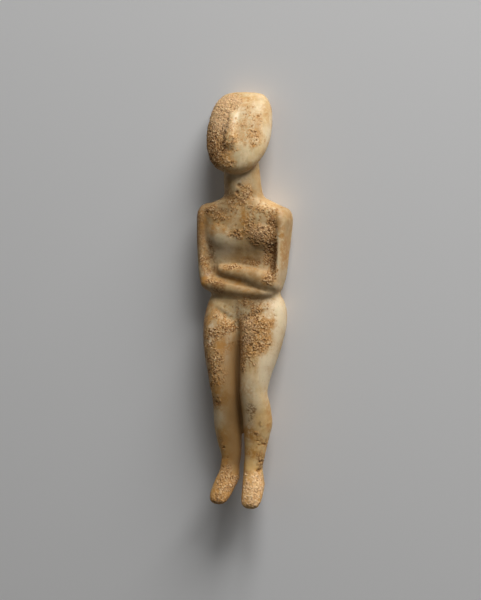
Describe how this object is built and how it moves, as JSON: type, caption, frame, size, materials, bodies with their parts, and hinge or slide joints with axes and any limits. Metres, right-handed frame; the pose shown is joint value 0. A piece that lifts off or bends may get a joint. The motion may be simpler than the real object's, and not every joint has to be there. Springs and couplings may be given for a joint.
{
  "type": "cycladic figurine",
  "caption": "Ancient marble figurine of a standing woman with folded arms, a plain face with a long nose and feet that point down; it lies on its back.",
  "frame": {"origin": "on the surface that the figurine lies on, under the middle of its box", "axes": "+Y from the feet to the head, +Z from the back to the face, +X to the figure's own left"},
  "size_m": [0.0591, 0.2482, 0.0307],
  "materials": {
    "marble": "old white marble, worn smooth, greenish cream, with ochre stains and patches of rough brown crust"
  },
  "bodies": {
    "root": {"figurine": "marble"}
  },
  "joints": []
}
